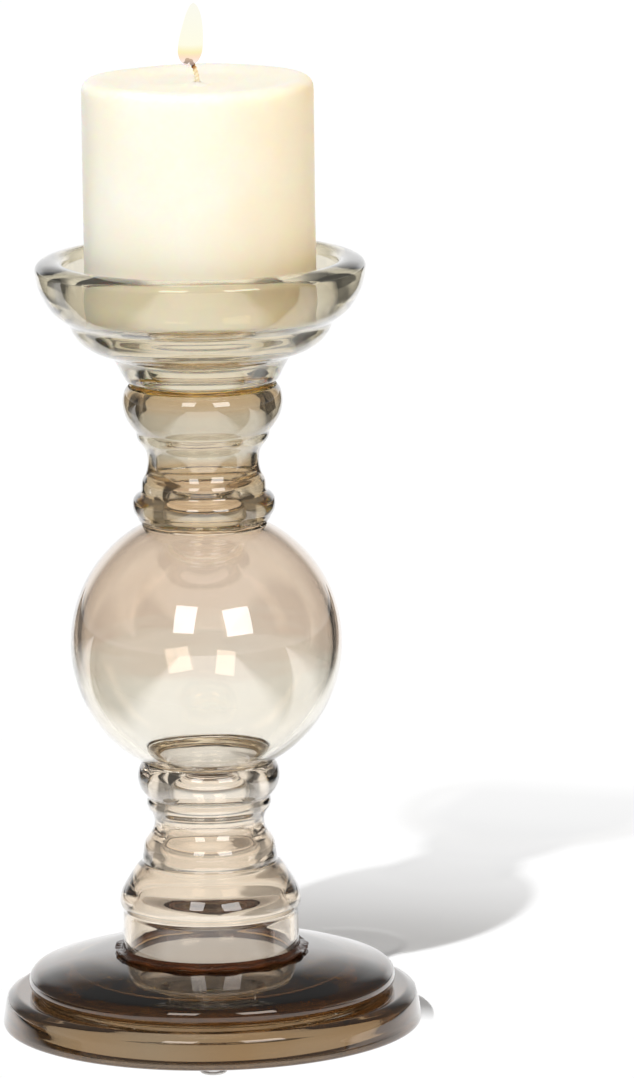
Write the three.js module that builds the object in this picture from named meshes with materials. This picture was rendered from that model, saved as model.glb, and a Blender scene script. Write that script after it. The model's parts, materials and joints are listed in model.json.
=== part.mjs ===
// A hollow glass candlestick with a pillar candle standing in its cup.
// Millimetres, +Z up. The origin is the middle of the base, on the table.
// Every glass piece is turned about the Z axis: its outline gives radius and height.

import * as THREE from 'three';

// ---- Driving dimensions ---------------------------------------------------

const FACETS = 32; // round each turned glass piece
const SMALL_FACETS = 16; // round the pads and the wick's tin
const CURVE_STEPS = 3; // straight steps along each curved stretch of an outline
const BALL_STEPS = 13; // straight steps from pole to pole of the ball
const SEAM = 0.3; // clearance between neighbouring pieces
const FILM = 0.6; // thickness of each bond of clear adhesive

const pad = { radius: 4.8, flatRadius: 3.2, height: 2.2, circleRadius: 62, count: 4 };
const plate = { bottom: 2.5, top: 14, footRadius: 69.9, shoulderRadius: 68.4, recess: 56, ceiling: 9 };
const baseBond = { innerRadius: 44, outerRadius: 58 };
const dome = { radius: 61, shoulderRadius: 58.4, shoulder: 21.4, seatRadius: 32.6, seat: 26.6 };
const collar = { innerRadius: 29.7, outerRadius: 31.9, height: 1.8 };
const foot = { radius: 29.3, innerRadius: 26.6, bellRadius: 30.2, bell: 43.8 };
const lowerNeck = { radius: 18.3, innerRadius: 14.8, height: 71.5 };
const lowerRing = { radius: 23.6, innerRadius: 13.2, height: 86.4 };
const ball = { centre: 131.3, radius: 45, wall: 3.2, mouthRadius: 17, bottom: 92.6, top: 171.3 };
const upperRing = { radius: 23.6, innerRadius: 13.2, height: 178.2 };
const upperNeck = { radius: 18.6, innerRadius: 15.5, height: 192 };
const bead = { radius: 26.5, innerRadius: 20.8, height: 212, top: 218 };
const cup = { rimRadius: 54.8, rimTop: 260.4, mouthRadius: 44.8, seat: 243.5, seatInnerRadius: 34.6 };
const candle = { radius: 38.1, height: 76.2, poolDepth: 1.8, edgeRound: 4 };
const wick = { radius: 1.0, boreRadius: 1.3, sides: 8, steps: 40 };
const tin = { radius: 10, sheet: 0.4, neckRadius: 2.0, neckHeight: 4 };

// Heights that follow from the pieces below them.
const plateBondBottom = plate.top + SEAM;
const domeBottom = plateBondBottom + FILM + SEAM;
const lowerStemBottom = dome.seat + SEAM;
const lowerStemTop = ball.bottom - FILM - 2 * SEAM;
const upperStemBottom = ball.top + FILM + 2 * SEAM;
const cupBottom = bead.top + FILM + 2 * SEAM;
const waxBottom = cup.seat + SEAM;
const waxTop = waxBottom + candle.height;
const poolLevel = waxTop - candle.poolDepth;
const tinBottom = waxBottom + SEAM;

// ---- Materials ------------------------------------------------------------

const glass = (name, color, opacity) =>
  new THREE.MeshStandardMaterial({ name, color, opacity, transparent: true, roughness: 0.05, metalness: 0.1 });

const lustreGlass = glass('lustre_glass', 0xd9c3a5, 0.45);
const smokyGlass = glass('smoky_glass', 0x6d6256, 0.75);
const clearBond = glass('clear_bond', 0xb98a5c, 0.5);
const darkBond = new THREE.MeshStandardMaterial({ name: 'dark_bond', color: 0x4a2c1c, roughness: 0.35 });
const clearVinyl = glass('clear_vinyl', 0xe9e6e0, 0.6);
const ivoryWax = new THREE.MeshStandardMaterial({ name: 'ivory_wax', color: 0xf7efd9, roughness: 0.5 });
const cotton = new THREE.MeshStandardMaterial({ name: 'cotton', color: 0x6a4a38, roughness: 0.95 });
const tinplate = new THREE.MeshStandardMaterial({ name: 'tinplate', color: 0xb9bbbd, roughness: 0.35, metalness: 1 });

// ---- Makers ---------------------------------------------------------------

// Turns an outline of (radius, height) points about Z.
function turnedPoints(name, points, material, facets = FACETS) {
  const geometry = new THREE.LatheGeometry(points, facets);
  geometry.rotateX(Math.PI / 2);
  const mesh = new THREE.Mesh(geometry, material);
  mesh.name = name;
  return mesh;
}

// Turns a path that runs up the outside and back down the inside.
function turned(name, path, material, facets = FACETS) {
  return turnedPoints(name, path.getPoints(CURVE_STEPS), material, facets);
}

// A flat washer of adhesive between two pieces.
function bondRing(name, innerRadius, outerRadius, bottom) {
  const outline = new THREE.Path()
    .moveTo(innerRadius, bottom)
    .lineTo(outerRadius, bottom)
    .lineTo(outerRadius, bottom + FILM)
    .lineTo(innerRadius, bottom + FILM)
    .lineTo(innerRadius, bottom);
  return turned(name, outline, clearBond);
}

// ---- Base -----------------------------------------------------------------

// A soft bumper, flat underneath and rounded at its edge, stuck under the plate.
function makePad(name, angle) {
  const outline = new THREE.Path()
    .moveTo(0, 0)
    .lineTo(pad.flatRadius, 0)
    .quadraticCurveTo(pad.radius, 0.3, pad.radius, pad.height)
    .lineTo(0, pad.height);
  const mesh = turned(name, outline, clearVinyl, SMALL_FACETS);
  mesh.position.set(pad.circleRadius * Math.cos(angle), pad.circleRadius * Math.sin(angle), 0);
  return mesh;
}

// The wide disc, open underneath inside its foot ring.
function makePlate() {
  const outline = new THREE.Path()
    .moveTo(plate.recess, plate.bottom)
    .lineTo(plate.footRadius - 1, plate.bottom)
    .quadraticCurveTo(plate.footRadius, plate.bottom, plate.footRadius, plate.bottom + 1.2)
    .lineTo(plate.shoulderRadius, plate.top - 1.4)
    .quadraticCurveTo(plate.shoulderRadius, plate.top, plate.shoulderRadius - 1.6, plate.top)
    .lineTo(0, plate.top);
  const underside = new THREE.Path()
    .moveTo(0, plate.ceiling)
    .lineTo(plate.recess - 2.5, plate.ceiling)
    .quadraticCurveTo(plate.recess, plate.ceiling, plate.recess, plate.ceiling - 2.5)
    .lineTo(plate.recess, plate.bottom);
  const points = [...underside.getPoints(CURVE_STEPS), ...outline.getPoints(CURVE_STEPS).slice(1)];
  return turnedPoints('base_plate', points, smokyGlass);
}

// The upper disc, which swells gently up to the flat seat of the stem.
function makeDome() {
  const outline = new THREE.Path()
    .moveTo(0, domeBottom)
    .lineTo(dome.radius - 0.6, domeBottom)
    .lineTo(dome.radius, dome.shoulder - 2.8)
    .quadraticCurveTo(dome.radius - 0.2, dome.shoulder - 0.8, dome.shoulderRadius, dome.shoulder)
    .quadraticCurveTo(46, 25.6, dome.seatRadius, dome.seat)
    .lineTo(0, dome.seat);
  return turned('base_dome', outline, smokyGlass);
}

// The ragged ring of adhesive squeezed out round the foot of the stem.
function makeCollar() {
  const bottom = dome.seat + SEAM;
  const outline = new THREE.Path()
    .moveTo(collar.innerRadius, bottom)
    .lineTo(collar.outerRadius - 0.8, bottom)
    .lineTo(collar.outerRadius, bottom + collar.height * 0.6)
    .lineTo(collar.innerRadius, bottom + collar.height)
    .lineTo(collar.innerRadius, bottom);
  return turned('foot_collar', outline, darkBond);
}

// ---- Stem -----------------------------------------------------------------

// Straight foot, bell, bead, neck and ring, hollow from end to end.
function makeLowerStem() {
  const outline = new THREE.Path()
    .moveTo(foot.innerRadius, lowerStemBottom)
    .lineTo(foot.radius, lowerStemBottom)
    .lineTo(foot.radius - 0.1, foot.bell - 2.4)
    .quadraticCurveTo(foot.bellRadius + 0.5, foot.bell, 28.9, 48.6)
    .quadraticCurveTo(27, 53.4, 23.6, 56.6)
    .lineTo(21.9, 57.6)
    .quadraticCurveTo(22.4, 61.4, 21.2, 64.8)
    .quadraticCurveTo(17.6, 67.6, lowerNeck.radius, lowerNeck.height + 1)
    .quadraticCurveTo(18.7, 74.4, 20.3, 76.2)
    .quadraticCurveTo(20.6, 78, 20.1, 80)
    .quadraticCurveTo(22.2, 81.4, 23.2, 84)
    .quadraticCurveTo(lowerRing.radius + 0.5, lowerRing.height, 23, 89)
    .lineTo(21.6, lowerStemTop)
    .lineTo(ball.mouthRadius, lowerStemTop)
    .quadraticCurveTo(lowerRing.innerRadius, 89, lowerRing.innerRadius, lowerRing.height)
    .lineTo(lowerNeck.innerRadius, lowerNeck.height)
    .quadraticCurveTo(14.6, 64, 18.4, 60)
    .quadraticCurveTo(25.6, 54, foot.innerRadius, 45)
    .lineTo(foot.innerRadius, lowerStemBottom);
  return turned('lower_stem', outline, lustreGlass);
}

// Ring, small bead, neck and fat bead, hollow from end to end.
function makeUpperStem() {
  const outline = new THREE.Path()
    .moveTo(ball.mouthRadius, upperStemBottom)
    .lineTo(21.6, upperStemBottom)
    .lineTo(22.1, 174.4)
    .quadraticCurveTo(2 * upperRing.radius - 21.7, upperRing.height, 20.9, 181.8)
    .quadraticCurveTo(21, 185.2, 19.3, 188)
    .quadraticCurveTo(2 * upperNeck.radius - 19.2, upperNeck.height, 19.1, 196.4)
    .lineTo(21.9, 200.8)
    .lineTo(22.2, 202.8)
    .quadraticCurveTo(26, 206.4, bead.radius, bead.height)
    .quadraticCurveTo(bead.radius + 0.2, 216.2, 24.8, bead.top)
    .lineTo(16.8, bead.top)
    .quadraticCurveTo(bead.innerRadius, 216.2, bead.innerRadius, bead.height)
    .quadraticCurveTo(bead.innerRadius, 204, upperNeck.innerRadius, 198)
    .lineTo(upperNeck.innerRadius, 189)
    .quadraticCurveTo(upperRing.innerRadius, 184, upperRing.innerRadius, upperRing.height)
    .lineTo(ball.mouthRadius, upperStemBottom);
  return turned('upper_stem', outline, lustreGlass);
}

// Points along a sphere's outline from one height up to another.
function sphereOutline(radius, lowest, highest) {
  const start = Math.asin((lowest - ball.centre) / radius);
  const end = Math.asin((highest - ball.centre) / radius);
  const points = [];
  for (let step = 0; step <= BALL_STEPS; step += 1) {
    const angle = start + ((end - start) * step) / BALL_STEPS;
    points.push(new THREE.Vector2(radius * Math.cos(angle), ball.centre + radius * Math.sin(angle)));
  }
  return points;
}

// The blown ball: a thin shell with a round mouth at each pole.
function makeBall() {
  const innerRadius = ball.radius - ball.wall;
  const innerReach = Math.sqrt(innerRadius ** 2 - ball.mouthRadius ** 2);
  const outside = sphereOutline(ball.radius, ball.bottom, ball.top);
  const inside = sphereOutline(innerRadius, ball.centre - innerReach, ball.centre + innerReach).reverse();
  const topMouth = new THREE.Vector2(ball.mouthRadius, ball.top);
  const bottomMouth = new THREE.Vector2(ball.mouthRadius, ball.bottom);
  const points = [bottomMouth, ...outside, topMouth, ...inside, bottomMouth.clone()];
  return turnedPoints('ball', points, lustreGlass);
}

// ---- Cup ------------------------------------------------------------------

// Three flared tiers outside; inside, a flat seat for the candle over a stepped recess.
function makeCup() {
  const outline = new THREE.Path()
    .moveTo(0, cupBottom)
    .lineTo(24.7, cupBottom)
    .quadraticCurveTo(27, 224.6, 30.2, 228.4)
    .lineTo(36.2, 230.8)
    .quadraticCurveTo(41.6, 233.4, 43.6, 238.8)
    .lineTo(45.6, 240.8)
    .quadraticCurveTo(53.8, 246.4, 54.6, 256)
    .quadraticCurveTo(cup.rimRadius + 0.4, 259.6, 51.4, cup.rimTop - 0.2)
    .lineTo(48, cup.rimTop)
    .quadraticCurveTo(cup.mouthRadius, cup.rimTop, cup.mouthRadius, 258)
    .lineTo(44.2, cup.seat + 3)
    .quadraticCurveTo(44, cup.seat, 42, cup.seat)
    .lineTo(cup.seatInnerRadius, cup.seat)
    .lineTo(33.4, cup.seat - 1.1)
    .lineTo(30.6, 235.6)
    .quadraticCurveTo(29.8, 233.4, 27.4, 233.4)
    .lineTo(20.6, 233.2)
    .lineTo(19.4, 232)
    .lineTo(17.2, 225)
    .quadraticCurveTo(16.6, 222.8, 14.4, 222.8)
    .lineTo(0, 222.8);
  return turned('candle_cup', outline, lustreGlass);
}

// ---- Candle ---------------------------------------------------------------

// The pillar of wax: rounded shoulder, shallow melted pool, and a bore for the wick.
function makeWax() {
  const outline = new THREE.Path()
    .moveTo(tin.radius + SEAM, waxBottom)
    .lineTo(candle.radius - 0.8, waxBottom)
    .lineTo(candle.radius, waxBottom + 0.8)
    .lineTo(candle.radius, waxTop - candle.edgeRound)
    .quadraticCurveTo(candle.radius, waxTop, candle.radius - candle.edgeRound, waxTop)
    .quadraticCurveTo(28, waxTop, 22, poolLevel + 0.4)
    .lineTo(6, poolLevel)
    .lineTo(wick.boreRadius, poolLevel)
    .lineTo(wick.boreRadius, tinBottom + tin.neckHeight + SEAM)
    .lineTo(tin.neckRadius + SEAM, tinBottom + tin.neckHeight + SEAM)
    .lineTo(tin.neckRadius + SEAM, tinBottom + tin.sheet + SEAM)
    .lineTo(tin.radius + SEAM, tinBottom + tin.sheet + SEAM)
    .lineTo(tin.radius + SEAM, waxBottom);
  return turned('candle_wax', outline, ivoryWax);
}

// The tin disc that holds the wick upright at the bottom of the wax.
function makeTin() {
  const outline = new THREE.Path()
    .moveTo(wick.boreRadius, tinBottom)
    .lineTo(tin.radius, tinBottom)
    .lineTo(tin.radius, tinBottom + tin.sheet)
    .lineTo(tin.neckRadius, tinBottom + tin.sheet)
    .lineTo(tin.neckRadius, tinBottom + tin.neckHeight)
    .lineTo(wick.boreRadius, tinBottom + tin.neckHeight)
    .lineTo(wick.boreRadius, tinBottom);
  return turned('wick_sustainer', outline, tinplate, SMALL_FACETS);
}

// The wick: straight up the bore, then hooked over to -X above the pool.
function makeWick() {
  const section = new THREE.Shape();
  for (let side = 0; side < wick.sides; side += 1) {
    const angle = (2 * Math.PI * side) / wick.sides;
    const x = wick.radius * Math.cos(angle);
    const y = wick.radius * Math.sin(angle);
    if (side === 0) section.moveTo(x, y);
    else section.lineTo(x, y);
  }
  section.closePath();
  const route = new THREE.CurvePath();
  const start = new THREE.Vector3(0, 0, tinBottom + 0.2);
  const leave = new THREE.Vector3(0, 0, poolLevel + 2.6);
  const tip = new THREE.Vector3(-3.6, 0, poolLevel + 7);
  route.add(new THREE.LineCurve3(start, leave));
  route.add(new THREE.QuadraticBezierCurve3(leave, new THREE.Vector3(0, 0, poolLevel + 7.4), tip));
  const geometry = new THREE.ExtrudeGeometry(section, {
    steps: wick.steps,
    bevelEnabled: false,
    extrudePath: route,
  });
  const mesh = new THREE.Mesh(geometry, cotton);
  mesh.name = 'candle_wick';
  return mesh;
}

// ---- Assembly -------------------------------------------------------------

const holder = new THREE.Group();
const padNames = ['foot_pad_front', 'foot_pad_right', 'foot_pad_back', 'foot_pad_left'];
padNames.forEach((name, index) => {
  holder.add(makePad(name, -Math.PI / 2 + (2 * Math.PI * index) / pad.count));
});
holder.add(
  makePlate(),
  bondRing('base_bond', baseBond.innerRadius, baseBond.outerRadius, plateBondBottom),
  makeDome(),
  makeCollar(),
  makeLowerStem(),
  bondRing('lower_ball_bond', ball.mouthRadius, 21.4, lowerStemTop + SEAM),
  makeBall(),
  bondRing('upper_ball_bond', ball.mouthRadius, 20.2, ball.top + SEAM),
  makeUpperStem(),
  bondRing('cup_bond', ball.mouthRadius, 24.2, bead.top + SEAM),
  makeCup(),
);

const pillar = new THREE.Group();
pillar.add(makeWax(), makeWick(), makeTin());

const candlestick = new THREE.Group();
candlestick.add(holder, pillar);

export default candlestick;
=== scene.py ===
"""Glass candlestick with a lit pillar candle, laid out as a Blender add-on and run as a script."""

import json
import math

import bpy
from bpy.props import FloatProperty, FloatVectorProperty, IntProperty, PointerProperty
from mathutils import Matrix, Vector

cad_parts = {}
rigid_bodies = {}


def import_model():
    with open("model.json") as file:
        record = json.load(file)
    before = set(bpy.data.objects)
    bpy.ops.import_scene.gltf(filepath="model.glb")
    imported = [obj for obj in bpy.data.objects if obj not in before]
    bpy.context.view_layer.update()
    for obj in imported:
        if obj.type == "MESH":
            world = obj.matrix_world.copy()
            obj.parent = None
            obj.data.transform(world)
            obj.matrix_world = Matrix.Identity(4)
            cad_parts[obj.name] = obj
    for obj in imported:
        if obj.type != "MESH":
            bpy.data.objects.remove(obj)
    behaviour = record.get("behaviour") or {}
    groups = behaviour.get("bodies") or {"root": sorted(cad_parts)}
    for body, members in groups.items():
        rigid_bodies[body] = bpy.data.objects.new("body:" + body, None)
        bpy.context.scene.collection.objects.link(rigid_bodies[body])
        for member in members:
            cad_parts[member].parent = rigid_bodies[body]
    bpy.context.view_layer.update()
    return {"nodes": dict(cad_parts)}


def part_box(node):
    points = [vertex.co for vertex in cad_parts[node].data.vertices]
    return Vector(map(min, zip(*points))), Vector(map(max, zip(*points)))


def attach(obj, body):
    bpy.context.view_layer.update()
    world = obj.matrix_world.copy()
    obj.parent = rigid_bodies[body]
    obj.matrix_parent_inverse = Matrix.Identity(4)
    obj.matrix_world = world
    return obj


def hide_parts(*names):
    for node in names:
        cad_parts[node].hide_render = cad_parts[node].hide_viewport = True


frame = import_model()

bl_info = {
    "name": "Glass Candlestick",
    "version": (1, 0, 0),
    "blender": (4, 5, 0),
    "location": "View3D > Sidebar > Candlestick",
    "description": "Builds a lustred glass candlestick with a lit pillar candle",
    "category": "Add Mesh",
}

MM = 0.001
HOLDER, CANDLE = "holder", "candle"

# Tints of the glued faces: those of the seam under the cup, and all others.
AMBER_GLUE = (0.93, 0.76, 0.42)
CLEAR_GLUE = (0.98, 0.91, 0.78)

# The lights: degrees from the front and up, and metres.
KEY_AZIMUTH, KEY_ELEVATION = -21.0, 36.0
LIGHTS_AIM, LIGHTS_DISTANCE = 0.15, 1.5

# How strongly the key's shadow shows at shares of its reach behind the candlestick.
SHADOW_REACH = 0.5
SHADOW_STRENGTH = ((0.0, 0.0), (0.06, 0.0), (0.1, 1.0), (0.28, 1.0), (0.32, 0.88), (0.38, 0.64), (0.45, 0.43),
                   (0.52, 0.31), (0.56, 0.27), (0.66, 0.16), (0.74, 0.12), (0.80, 0.0), (1.0, 0.0))

# The black flags beside the set begin where |x| + slope * |y|, in metres, is between these two.
FLAG_SLOPE, FLAG_EDGE = -0.40, (0.10, 0.17)


def node_heights(node):
    """Lowest and highest point of a CAD node, in millimetres."""
    low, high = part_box(node)
    return low[2] / MM, high[2] / MM


def node_radius(node):
    """Largest radius of a CAD node that is centred on the axis, in millimetres."""
    low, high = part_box(node)
    return (high[0] - low[0]) / 2 / MM


# Heights and radii in millimetres, read from the frame so that each piece meets its neighbour.
PLATE_LOW, PLATE_TOP = node_heights("base_plate")
DOME_LOW, DOME_TOP = node_heights("base_dome")
STEM_LOW, STEM_TOP = node_heights("lower_stem")
BALL_LOW, BALL_TOP = node_heights("ball")
NECK_LOW, NECK_TOP = node_heights("upper_stem")
CUP_LOW, CUP_TOP = node_heights("candle_cup")
WAX_LOW, WAX_TOP = node_heights("candle_wax")
TIN_LOW, TIN_TOP = node_heights("wick_sustainer")
WICK_LOW, WICK_TOP = node_heights("candle_wick")
PLATE_R = node_radius("base_plate")
DOME_R = node_radius("base_dome")
COLLAR_R = node_radius("foot_collar")
CUP_R = node_radius("candle_cup")
WAX_R = node_radius("candle_wax")
TIN_R = node_radius("wick_sustainer")

# Other sizes in millimetres that joined pieces share.
MOUTH_R = 17.0  # the hole through the stems beside the ball
JOINT_R = 21.4  # the stems' faces that are glued to the ball
FOOT_R, FOOT_INNER_R = 29.3, 26.6  # the foot of the lower stem
SEAM_REACH = 0.25  # how far a seam grows to touch its neighbours
GLUE_TOLERANCE = 0.12  # how near a glued face's height an outline has to pass
TINY = 1e-6
CALM_R = 8.0  # glass has less ripple nearer the axis than this


# ---- Settings ---------------------------------------------------------------


def colour(name, description, default):
    return FloatVectorProperty(
        name=name, description=description, default=default, subtype="COLOR", min=0, max=1,
    )


def length(name, description, default, low, high):
    """A length property. Its default and limits are given in millimetres."""
    return FloatProperty(
        name=name, description=description, default=default * MM, min=low * MM, max=high * MM, unit="LENGTH",
    )


def amount(name, description, default, high):
    return FloatProperty(name=name, description=description, default=default, min=0.0, max=high)


class GlassSettings(bpy.types.PropertyGroup):
    """Sizes and colours of the glass pieces."""

    ball_radius: length("Ball radius", "Outer radius of the blown ball", 45, 30, 60)
    ball_wall: length("Ball wall", "Thickness of the ball's shell", 3.2, 1, 8)
    ball_mouth: length("Ball mouth", "Radius of the hole at each pole of the ball", 17, 8, 25)
    ripple: length("Ripple", "How far the hand-worked glass strays from a true circle", 0.12, 0, 1)
    step: length("Outline step", "Spacing of the points along a turned outline", 0.5, 0.2, 5)
    around: IntProperty(
        name="Facets around", description="Faces round each turned glass piece", default=144, min=24, max=256,
    )
    stem_pale: colour("Stem, pale", "Tint of the lower stem where it faces down", (1.0, 0.92, 0.8))
    stem_deep: colour("Stem, deep", "Tint of the lower stem where it faces up", (0.98, 0.82, 0.64))
    upper_pale: colour("Upper stem, pale", "Tint of the upper stem where it faces down", (0.65, 0.59, 0.45))
    upper_deep: colour("Upper stem, deep", "Tint of the upper stem where it faces up", (0.62, 0.4, 0.19))
    cup_pale: colour("Cup, pale", "Tint of the cup where it faces down", (0.82, 0.75, 0.56))
    cup_deep: colour("Cup, deep", "Tint of the cup where it faces up", (1.0, 0.93, 0.72))
    ball_pale: colour("Ball, pale", "Tint of the ball under its middle", (0.96, 0.92, 0.8))
    ball_deep: colour("Ball, deep", "Tint of the ball over its middle", (0.87, 0.71, 0.57))
    base_pale: colour("Base, pale", "Tint of the base where it faces down", (0.14, 0.07, 0.024))
    base_deep: colour("Base, deep", "Tint of the base where it faces up", (0.1, 0.055, 0.022))
    amber_colour: colour("Adhesive", "Colour of the adhesive in the seams", (0.85, 0.66, 0.46))


class CandleSettings(bpy.types.PropertyGroup):
    """Sizes and colours of the candle."""

    wax_colour: colour("Wax", "Colour of the ivory wax", (0.97, 0.91, 0.81))
    pool_depth: length("Pool depth", "How far the melted pool lies under the wax's rim", 2.4, 0, 10)
    wick_radius: length("Wick radius", "Radius of the braided wick", 0.85, 0.3, 2)
    wick_turns: amount("Wick turns", "Turns of the wick's strands along its length", 22.0, 80.0)
    flame_height: length("Flame height", "Height of the flame from its foot to its tip", 20.6, 5, 25)


class StageSettings(bpy.types.PropertyGroup):
    """The plain floor and the light."""

    floor_colour: colour("Floor", "Colour of the plain pale floor", (0.95, 0.95, 0.95))
    floor_glow: amount("Floor glow", "Light that the floor gives off where no shadow shows", 1.02, 2.0)
    shadow_glow: amount("Shadow glow", "Light that the floor gives off in the deepest shadow", 0.11, 2.0)
    key_strength: amount("Key strength", "Strength of the light that casts the shadow", 4.0, 20.0)
    softbox_radiance: amount("Softbox brightness", "Brightness of the two square softboxes", 3.0, 50.0)
    lift_grey: amount("Lift", "Least brightness of the room seen through the glass", 0.3, 2.0)
    candle_strength: amount("Candle light", "Strength of the light on the candle", 2.75, 20.0)
    fill_grey: amount("Fill", "Brightness of the soft fill that matte surfaces get", 0.15, 2.0)
    room_grey: amount("Room", "Brightness of the dim room over the horizon", 0.12, 1.0)


def glass_settings():
    return bpy.context.scene.candlestick_glass


def candle_settings():
    return bpy.context.scene.candlestick_candle


def stage_settings():
    return bpy.context.scene.candlestick_stage


# ---- Outlines ---------------------------------------------------------------


def smooth_through(points, step):
    """Points every step along a smooth curve through the given ones, or along a straight stretch."""
    path = [Vector(p) for p in points]
    if len(path) > 2:
        ends = [2 * path[0] - path[1]] + path + [2 * path[-1] - path[-2]]
        fine = []
        for a, b, c, d in zip(ends, ends[1:], ends[2:], ends[3:]):
            for k in range(16):
                t = k / 16
                fine.append(
                    0.5 * (2 * b + (c - a) * t + (2 * a - 5 * b + 4 * c - d) * t * t
                           + (3 * b - a - 3 * c + d) * t ** 3)
                )
        path = fine + [path[-1]]
    lengths = [0.0]
    for a, b in zip(path, path[1:]):
        lengths.append(lengths[-1] + (b - a).length)
    count = max(1, round(lengths[-1] / step))
    spaced, k = [], 0
    for n in range(count + 1):
        want = lengths[-1] * n / count
        while k < len(path) - 2 and lengths[k + 1] < want:
            k += 1
        span = lengths[k + 1] - lengths[k]
        spaced.append(path[k].lerp(path[k + 1], (want - lengths[k]) / span if span else 0.0))
    return spaced


def join_stretches(stretches, step):
    """One list of points from stretches that share their ends."""
    joined = []
    for stretch in stretches:
        joined += smooth_through(stretch, step)[1 if joined else 0:]
    return joined


def soften(points, closed, passes=2):
    """Rounds every corner of an outline a little, as fire-polished glass is."""
    for _ in range(passes):
        if closed:
            ring = points[:-1]
            ring = [(ring[k - 1] + 2 * p + ring[(k + 1) % len(ring)]) / 4 for k, p in enumerate(ring)]
            points = ring + [ring[0]]
        else:
            inner = [(a + 2 * b + c) / 4 for a, b, c in zip(points, points[1:], points[2:])]
            points = [points[0]] + inner + [points[-1]]
    return points


def ripple_at(angle, height, seed):
    """A slow unevenness round and along a hand-worked piece, from -1 to 1."""
    return (
        0.50 * math.sin(2 * angle + 1.3 * seed + 0.021 * height)
        + 0.28 * math.sin(3 * angle + 2.1 * seed - 0.047 * height)
        + 0.22 * math.sin(5 * angle - 0.7 * seed + 0.11 * height)
    )


# ---- Meshes -----------------------------------------------------------------


def add_object(name, vertices, faces, materials, face_slots=None):
    """A smooth-shaded mesh object at the origin. Vertices are in millimetres."""
    mesh = bpy.data.meshes.new(name)
    mesh.from_pydata([Vector(v) * MM for v in vertices], [], faces)
    for material in materials:
        mesh.materials.append(material)
    if face_slots:
        mesh.polygons.foreach_set("material_index", face_slots)
    return add_mesh(name, mesh)


def add_mesh(name, mesh):
    """A smooth-shaded object at the origin that shows a mesh."""
    mesh.name = name
    mesh.polygons.foreach_set("use_smooth", [True] * len(mesh.polygons))
    mesh.update()
    piece = bpy.data.objects.new(name, mesh)
    bpy.context.scene.collection.objects.link(piece)
    return piece


def turned(name, outside, inside, materials, ripple=None, seed=0.0, around=None, passes=2, shape=None,
           glued=()):
    """Turns an outline about Z: up the outside, then back along the inside.

    An outline that starts on the axis ends on it too. The outside takes the first material, the
    inside the second, and flat faces in glued the last: (height, inner radius, outer radius).
    shape, if given, moves each point: shape(radius, height, angle).
    """
    settings = glass_settings()
    around = around or settings.around
    step = settings.step / MM
    ripple = settings.ripple / MM if ripple is None else ripple
    outer = join_stretches(outside, step)
    inner = join_stretches(inside, step) if inside else outer[-1:]
    outline = outer + inner[1:]
    on_axis = outline[0].x < TINY
    outline = soften(outline, not on_axis, passes)
    split = len(outer) - 1
    vertices, rings = [], []
    for index, (radius, height) in enumerate(outline if on_axis else outline[:-1]):
        if radius < TINY:
            rings.append([len(vertices)])
            vertices.append((0.0, 0.0, height))
            continue
        rings.append(range(len(vertices), len(vertices) + around))
        calm = min(1.0, radius / CALM_R)
        side = seed if index <= split else seed + 2.4
        for k in range(around):
            angle = 2 * math.pi * k / around
            r, z = radius + calm * ripple * ripple_at(angle, height, side), height
            if shape:
                r, z = shape(r, z, angle)
            vertices.append((r * math.cos(angle), r * math.sin(angle), z))
    if not on_axis:
        rings.append(rings[0])
    faces, slots = [], []
    for index, (low, high) in enumerate(zip(rings, rings[1:])):
        slot = 0 if index < split else min(1, len(materials) - 1)
        middle = (outline[index] + outline[index + 1]) / 2
        for height, near, far in glued:
            if abs(middle.y - height) < GLUE_TOLERANCE and near < middle.x < far:
                slot = len(materials) - 1
        for k in range(around):
            n = (k + 1) % around
            if len(low) == 1:
                faces.append((low[0], high[n], high[k]))
            elif len(high) == 1:
                faces.append((low[k], low[n], high[0]))
            else:
                faces.append((low[k], low[n], high[n], high[k]))
            slots.append(slot)
    piece = add_object(name, vertices, faces, materials, slots)
    facing = piece.data.attributes.new("facing_up", "FLOAT", "POINT")
    facing.data.foreach_set("value", [vertex.normal.z for vertex in piece.data.vertices])
    return piece


def finish_piece(piece, body, slot, *nodes):
    """Says what a finished piece rides on and hides the CAD nodes it stands for; slot, its finish, is not
    used.
    """
    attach(piece, body)
    if nodes:
        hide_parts(*nodes)


# ---- Nodes ------------------------------------------------------------------

VECTOR, FLOAT, COLOUR = "NodeSocketVector", "NodeSocketFloat", "NodeSocketColor"
GEOMETRY, WHOLE, MATERIAL = "NodeSocketGeometry", "NodeSocketInt", "NodeSocketMaterial"
WHITE = (1, 1, 1, 1)


def new_group(name, kind, inputs, outputs):
    """An empty node group. Its sockets are named and typed; an input may have a default."""
    tree = bpy.data.node_groups.new(name, kind)
    for label, socket_type, *default in inputs:
        socket = tree.interface.new_socket(label, in_out="INPUT", socket_type=socket_type)
        if default:
            socket.default_value = default[0]
    for label, socket_type in outputs:
        tree.interface.new_socket(label, in_out="OUTPUT", socket_type=socket_type)
    return tree, tree.nodes.new("NodeGroupInput").outputs, tree.nodes.new("NodeGroupOutput").inputs


def feed(tree, node, values):
    """Links each named input to the socket given for it, or sets it to the plain value given."""
    for key, value in values.items():
        if isinstance(value, bpy.types.NodeSocket):
            tree.links.new(value, node.inputs[key])
        else:
            node.inputs[key].default_value = value


def add_node(tree, kind, inputs=None, **properties):
    """Adds a node with its properties and inputs."""
    node = tree.nodes.new(kind)
    for key, value in properties.items():
        setattr(node, key, value)
    feed(tree, node, inputs or {})
    return node


def calculate(tree, operation, *values):
    """The result of one Math node."""
    return add_node(tree, "ShaderNodeMath", dict(enumerate(values)), operation=operation).outputs[0]


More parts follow.
